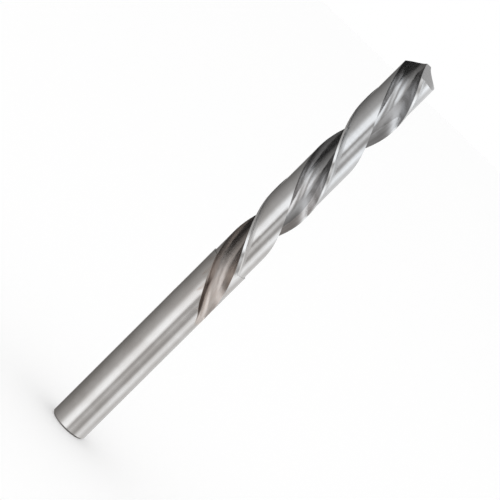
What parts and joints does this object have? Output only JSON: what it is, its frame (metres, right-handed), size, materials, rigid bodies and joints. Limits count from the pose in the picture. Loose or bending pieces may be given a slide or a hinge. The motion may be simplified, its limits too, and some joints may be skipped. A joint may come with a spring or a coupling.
{
  "type": "twist drill",
  "caption": "Straight-shank twist drill with left-hand helical flutes, ground margins and a conical cutting point.",
  "frame": {"origin": "centre of the flat shank end, on the drill's axis", "axes": "+Z along the drill's axis from the shank end to the point, so the drill stands on its shank end; +X and +Y square to the axis"},
  "size_m": [0.0124, 0.0124, 0.151],
  "materials": {
    "ground_steel": "bright ground"
  },
  "bodies": {
    "root": {"twist_drill": "ground_steel"}
  },
  "joints": []
}
